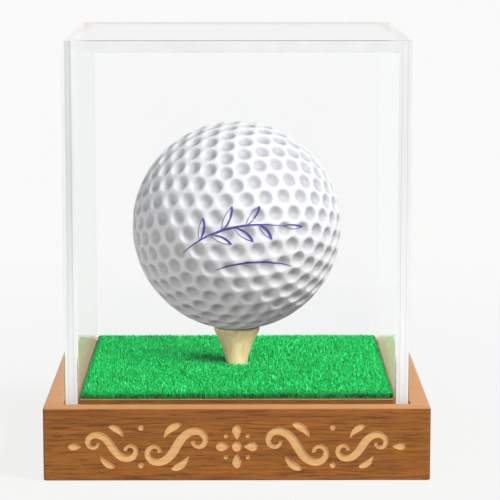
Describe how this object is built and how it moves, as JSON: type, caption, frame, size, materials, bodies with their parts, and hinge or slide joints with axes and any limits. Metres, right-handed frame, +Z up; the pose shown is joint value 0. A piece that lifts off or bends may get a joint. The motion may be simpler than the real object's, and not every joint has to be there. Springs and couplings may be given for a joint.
{
  "type": "golf ball display case",
  "caption": "Square wooden base with a turf-covered island, a wooden tee holding a golf ball, and a clear lift-off cube cover standing in a groove.",
  "frame": {"origin": "centre of the case's underside, on the felt's lower face", "axes": "+Z up, +X to the right and -Y towards the viewer, so that the front wall of the cover faces -Y"},
  "size_m": [0.0744, 0.0744, 0.0844],
  "materials": {
    "base_wood": "satin",
    "felt": "matt felt",
    "turf_backing": "matt woven",
    "turf": "short cut pile",
    "tee_wood": "clear lacquer",
    "ball_core": "matt",
    "ball_white": "gloss white",
    "clear_acrylic": "polished clear acrylic"
  },
  "bodies": {
    "base": {"base_block": "base_wood", "base_felt": "felt", "turf_backing": "turf_backing", "turf_pile": "turf", "tee": "tee_wood"},
    "ball": {"ball_core": "ball_core", "ball_cover": "ball_white"},
    "cover": {"cover_front_panel": "clear_acrylic", "cover_right_panel": "clear_acrylic", "cover_back_panel": "clear_acrylic", "cover_left_panel": "clear_acrylic", "cover_top_panel": "clear_acrylic"}
  },
  "joints": [
    {"name": "cover_lift", "type": "slide", "parent": "base", "child": "cover", "axis": [0, 0, 1], "range_m": [0, 0.09]},
    {"name": "ball_lift", "type": "slide", "parent": "base", "child": "ball", "axis": [0, 0, 1], "range_m": [0, 0.015]}
  ]
}
